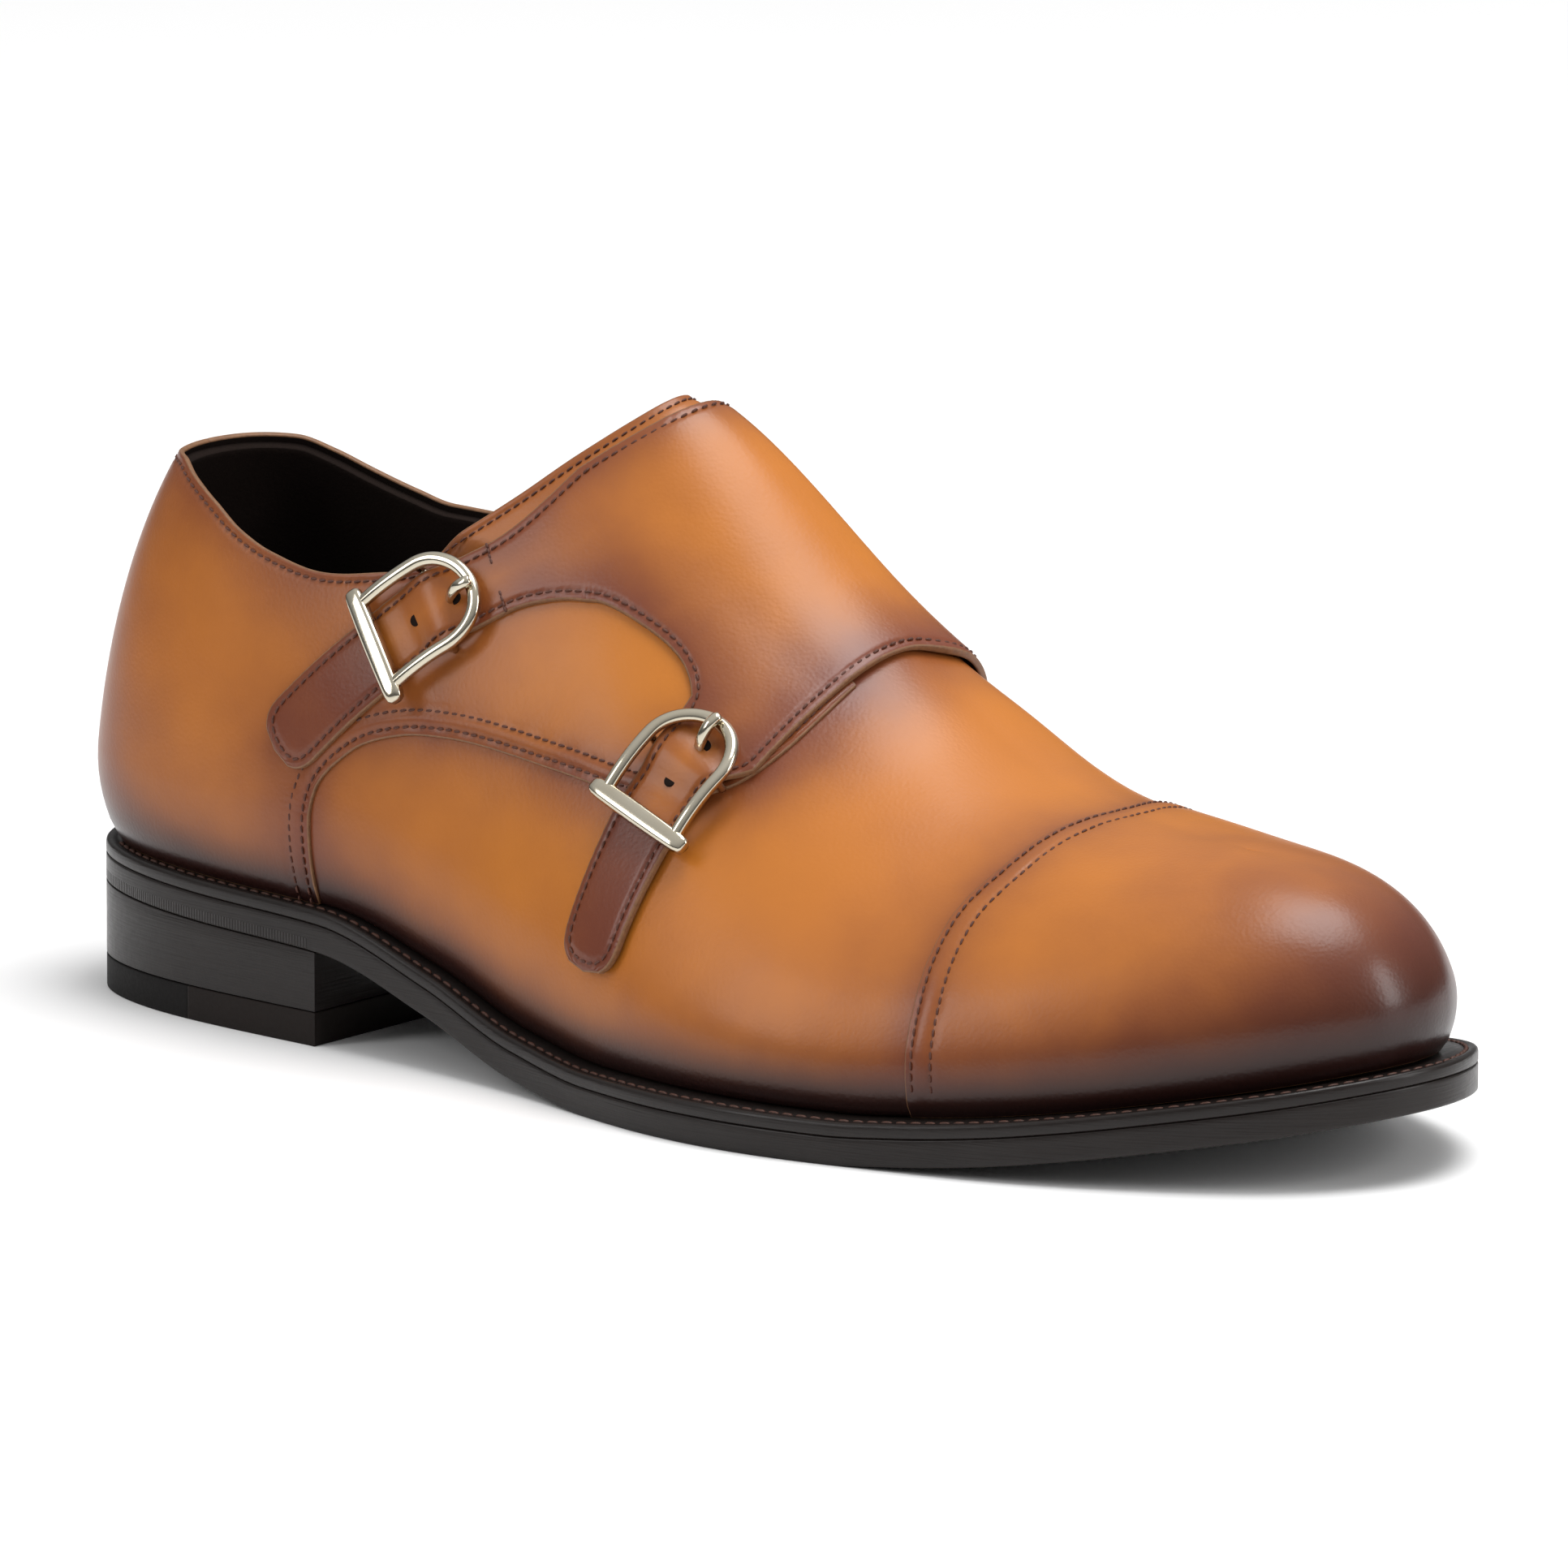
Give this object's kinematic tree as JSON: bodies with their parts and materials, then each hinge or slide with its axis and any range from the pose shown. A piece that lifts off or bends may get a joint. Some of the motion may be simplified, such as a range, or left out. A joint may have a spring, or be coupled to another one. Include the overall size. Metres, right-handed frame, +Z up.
{
  "type": "double monk strap shoe",
  "caption": "Right dress shoe in burnished cognac calf, fastened by a flap with straps through buckles on the outer side, on a welted sole with a stacked heel.",
  "frame": {"origin": "middle of the shoe's bounding box, on the floor that it stands on", "axes": "+X from heel to toe, +Z up, the outer (lateral) side faces -Y"},
  "size_m": [0.3032, 0.1128, 0.1192],
  "materials": {
    "upper_calf": "hand-burnished cognac calf, polished",
    "strap_calf": "burnished calf, a little darker than the upper",
    "lining_suede": "matt dark brown lining and insock",
    "sole_edge": "dark brown edge dressing, semi-gloss",
    "top_lift_rubber": "dark brown, satin",
    "buckle_nickel": "polished warm nickel"
  },
  "bodies": {
    "root": {"outsole": "sole_edge", "welt": "sole_edge", "heel_stack": "sole_edge", "top_lift": "top_lift_rubber", "insole": "lining_suede", "upper": "upper_calf", "tongue": "upper_calf", "monk_flap": "strap_calf", "buckle_frame_upper": "buckle_nickel", "buckle_prong_upper": "buckle_nickel", "buckle_frame_lower": "buckle_nickel", "buckle_prong_lower": "buckle_nickel"}
  },
  "joints": []
}
